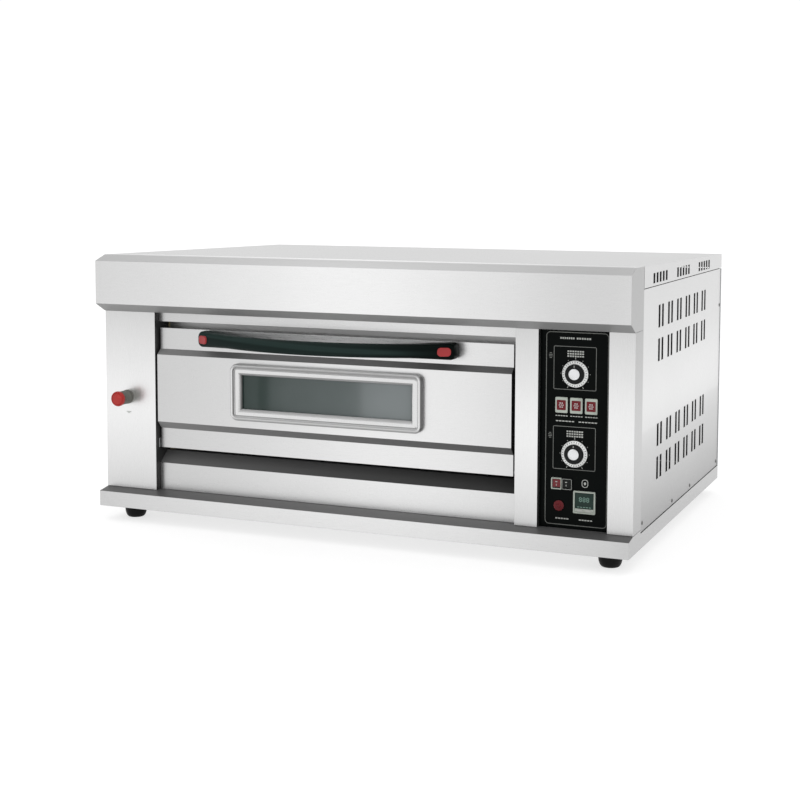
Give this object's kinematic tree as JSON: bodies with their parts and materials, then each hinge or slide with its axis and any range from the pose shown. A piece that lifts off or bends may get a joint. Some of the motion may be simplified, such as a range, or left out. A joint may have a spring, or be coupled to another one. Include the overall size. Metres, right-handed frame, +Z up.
{
  "type": "deck oven",
  "caption": "Commercial single-deck baking oven with a glazed drop-down door, bowed handle, side control column and vent damper.",
  "frame": {"origin": "centre of the bounding box's footprint, on the plane that the feet stand on", "axes": "+X to the right of a person facing the door, -Y out of the door, +Z up"},
  "size_m": [1.3, 1.026, 0.6385],
  "materials": {
    "stainless": "brushed stainless sheet, fine horizontal grain, soft satin sheen",
    "galvanised": "galvanised sheet, dull grey",
    "black_steel": "blued steel plate, dark, matte",
    "brass": "plain brass pipe",
    "rubber": "black moulded rubber",
    "mineral_wool": "compressed mineral wool",
    "glass": "heat-proof tinted glass",
    "handle_black": "glossy black moulded resin",
    "red_plastic": "glossy red plastic",
    "fascia_black": "gloss black printed fascia",
    "light_grey": "light grey moulded plastic",
    "black_plastic": "black moulded plastic",
    "satin_metal": "satin turned metal"
  },
  "bodies": {
    "oven_body": {"base_frame": "stainless", "pillar_left": "stainless", "pillar_middle": "stainless", "pillar_right": "stainless", "header_strip": "stainless", "lower_front_panel": "stainless", "slot_apron": "stainless", "hood": "stainless", "roof_cover": "stainless", "side_panel_left": "stainless", "side_panel_right": "stainless", "chamber_liner": "stainless", "burner_lower": "stainless", "burner_upper": "stainless", "rear_panel": "galvanised", "divider_wall": "galvanised", "flue_duct": "galvanised", "hinge_pin_left": "galvanised", "hinge_pin_right": "galvanised", "deck_plate": "black_steel", "gas_manifold": "brass", "foot_front_left": "rubber", "foot_front_right": "rubber", "foot_rear_left": "rubber", "foot_rear_right": "rubber", "insulation_jacket": "mineral_wool", "oven_lamp": "glass", "buzzer": "red_plastic", "control_panel": "fascia_black", "indicator_heating": "light_grey", "indicator_ignition": "light_grey", "indicator_alarm": "light_grey", "switch_frame": "light_grey", "timer_body": "light_grey", "ignition_controller": "black_plastic", "cable_gland": "black_plastic", "gas_valve": "satin_metal", "thermostat_upper": "satin_metal", "thermostat_lower": "satin_metal", "damper_bush": "satin_metal"},
    "door": {"door_skin": "stainless", "door_liner": "stainless", "door_insulation": "mineral_wool", "window_frame": "stainless", "window_pane_outer": "glass", "window_pane_inner": "glass", "door_handle": "handle_black", "handle_plug_left": "red_plastic", "handle_plug_right": "red_plastic"},
    "dial_upper_body": {"dial_upper": "black_plastic", "dial_cap_upper": "satin_metal"},
    "dial_lower_body": {"dial_lower": "black_plastic", "dial_cap_lower": "satin_metal"},
    "rocker_power_body": {"rocker_power": "red_plastic"},
    "rocker_lamp_body": {"rocker_lamp": "black_plastic"},
    "timer_key_1_body": {"timer_key_1": "light_grey"},
    "timer_key_2_body": {"timer_key_2": "light_grey"},
    "damper": {"damper_rod": "satin_metal", "damper_cap": "red_plastic"}
  },
  "joints": [
    {"name": "door_hinge", "type": "hinge", "parent": "oven_body", "child": "door", "pos_m": [0, -0.389, 0.187], "axis": [1, 0, 0], "range_deg": [0, 90]},
    {"name": "dial_upper_turn", "type": "hinge", "parent": "oven_body", "child": "dial_upper_body", "pos_m": [0.5175, -0.3984, 0.41], "axis": [0, 1, 0], "range_deg": [0, 300]},
    {"name": "dial_lower_turn", "type": "hinge", "parent": "oven_body", "child": "dial_lower_body", "pos_m": [0.5175, -0.3984, 0.239], "axis": [0, 1, 0], "range_deg": [0, 300]},
    {"name": "rocker_power_tilt", "type": "hinge", "parent": "oven_body", "child": "rocker_power_body", "pos_m": [0.47955, -0.392, 0.173], "axis": [1, 0, 0], "range_deg": [0, 16]},
    {"name": "rocker_lamp_tilt", "type": "hinge", "parent": "oven_body", "child": "rocker_lamp_body", "pos_m": [0.50105, -0.392, 0.173], "axis": [1, 0, 0], "range_deg": [0, 16]},
    {"name": "timer_key_1_press", "type": "slide", "parent": "oven_body", "child": "timer_key_1_body", "axis": [0, 1, 0], "range_m": [0, 0.0008], "stiffness_N_per_m": 300, "springref_m": -0.0005},
    {"name": "timer_key_2_press", "type": "slide", "parent": "oven_body", "child": "timer_key_2_body", "axis": [0, 1, 0], "range_m": [0, 0.0008], "stiffness_N_per_m": 300, "springref_m": -0.0005},
    {"name": "damper_pull", "type": "slide", "parent": "oven_body", "child": "damper", "axis": [0, -1, 0], "range_m": [0, 0.06]}
  ]
}
